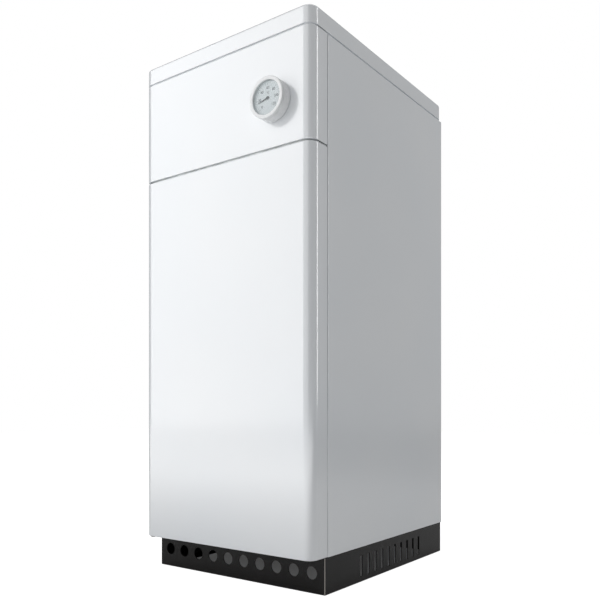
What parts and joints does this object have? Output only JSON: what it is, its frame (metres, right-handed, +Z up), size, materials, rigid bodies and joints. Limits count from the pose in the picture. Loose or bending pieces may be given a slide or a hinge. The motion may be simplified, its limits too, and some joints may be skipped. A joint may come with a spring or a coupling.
{
  "type": "floor standing gas boiler",
  "caption": "Tall white floor standing gas boiler with a swinging front door, dial thermometer, lift-off lid, black air-hole plinth and rear flue collar.",
  "frame": {"origin": "on the floor under the middle of the object's box", "axes": "+Z up, the front faces -Y, +X is to the right when facing the front"},
  "size_m": [0.35, 0.4844, 0.89],
  "materials": {
    "white_enamel": "smooth white powder enamel",
    "black_enamel": "gloss black enamel",
    "zinc_plate": "zinc plated sheet",
    "boiler_steel": "black boiler plate, welded",
    "stainless_steel": "heat resistant stainless sheet",
    "brass": "machined brass",
    "copper": "drawn copper tube",
    "cast_aluminium": "die cast aluminium",
    "black_plastic": "black moulded plastic",
    "white_plastic": "white moulded plastic",
    "foil_wool": "mineral wool blanket faced with foil",
    "clear_glass": "clear flat glass"
  },
  "bodies": {
    "casing": {"control_panel": "white_enamel", "side_panel_left": "white_enamel", "side_panel_right": "white_enamel", "plinth": "black_enamel", "base_tray": "zinc_plate", "back_panel": "zinc_plate", "front_rail": "zinc_plate", "flue_hood": "zinc_plate", "flue_collar": "zinc_plate", "cleaning_cover": "zinc_plate", "burner_plate": "zinc_plate", "burner_plate_screw_1": "zinc_plate", "burner_plate_screw_2": "zinc_plate", "burner_plate_screw_3": "zinc_plate", "burner_plate_screw_4": "zinc_plate", "valve_bracket": "zinc_plate", "heat_exchanger": "boiler_steel", "burner_chamber": "boiler_steel", "supply_pipe": "boiler_steel", "return_pipe": "boiler_steel", "gas_manifold": "boiler_steel", "burner_tube_1": "stainless_steel", "burner_tube_2": "stainless_steel", "burner_tube_3": "stainless_steel", "turbulator_1": "stainless_steel", "turbulator_2": "stainless_steel", "turbulator_3": "stainless_steel", "hinge_pin_upper": "stainless_steel", "hinge_pin_lower": "stainless_steel", "pilot_burner": "stainless_steel", "injector_1": "brass", "injector_2": "brass", "injector_3": "brass", "gas_inlet_pipe": "brass", "valve_outlet_pipe": "brass", "sensor_pocket": "brass", "draught_sensor": "brass", "pilot_pipe": "copper", "thermocouple": "copper", "gauge_capillary": "copper", "thermostat_capillary": "copper", "gas_valve": "cast_aluminium", "piezo_igniter": "black_plastic", "door_catch": "black_plastic", "gauge_case": "white_plastic", "gauge_bezel": "white_plastic", "gauge_dial": "white_plastic", "ignition_electrode": "white_plastic", "insulation_jacket": "foil_wool", "gauge_glass": "clear_glass", "sight_glass": "clear_glass"},
    "door": {"door": "white_enamel", "door_strike": "zinc_plate"},
    "lid": {"top_lid": "white_enamel"},
    "spindle": {"knob_spindle": "stainless_steel"},
    "knob": {"control_knob": "black_plastic"},
    "piezo_button": {"piezo_button": "black_plastic"},
    "needle": {"gauge_needle": "black_plastic"},
    "shutter": {"sight_shutter": "stainless_steel"}
  },
  "joints": [
    {"name": "door_hinge", "type": "hinge", "parent": "casing", "child": "door", "pos_m": [-0.166, -0.2118, 0.6565], "axis": [0, 0, -1], "range_deg": [0, 115]},
    {"name": "lid_lift", "type": "slide", "parent": "casing", "child": "lid", "axis": [0, 0, 1], "range_m": [0, 0.05]},
    {"name": "knob_push", "type": "slide", "parent": "casing", "child": "spindle", "axis": [0, 1, 0], "range_m": [0, 0.005], "stiffness_N_per_m": 400},
    {"name": "knob_turn", "type": "hinge", "parent": "spindle", "child": "knob", "pos_m": [-0.005, -0.1942, 0.2773], "axis": [0, -1, 0], "range_deg": [0, 270]},
    {"name": "piezo_push", "type": "slide", "parent": "casing", "child": "piezo_button", "axis": [0, 1, 0], "range_m": [0, 0.005], "stiffness_N_per_m": 400},
    {"name": "needle_turn", "type": "hinge", "parent": "casing", "child": "needle", "pos_m": [0.107, -0.2382, 0.7243], "axis": [0, 1, 0], "range_deg": [-31.4, 238.6]},
    {"name": "shutter_swing", "type": "hinge", "parent": "casing", "child": "shutter", "pos_m": [0.085, -0.0964, 0.1618], "axis": [0, 1, 0], "range_deg": [0, 90]}
  ]
}
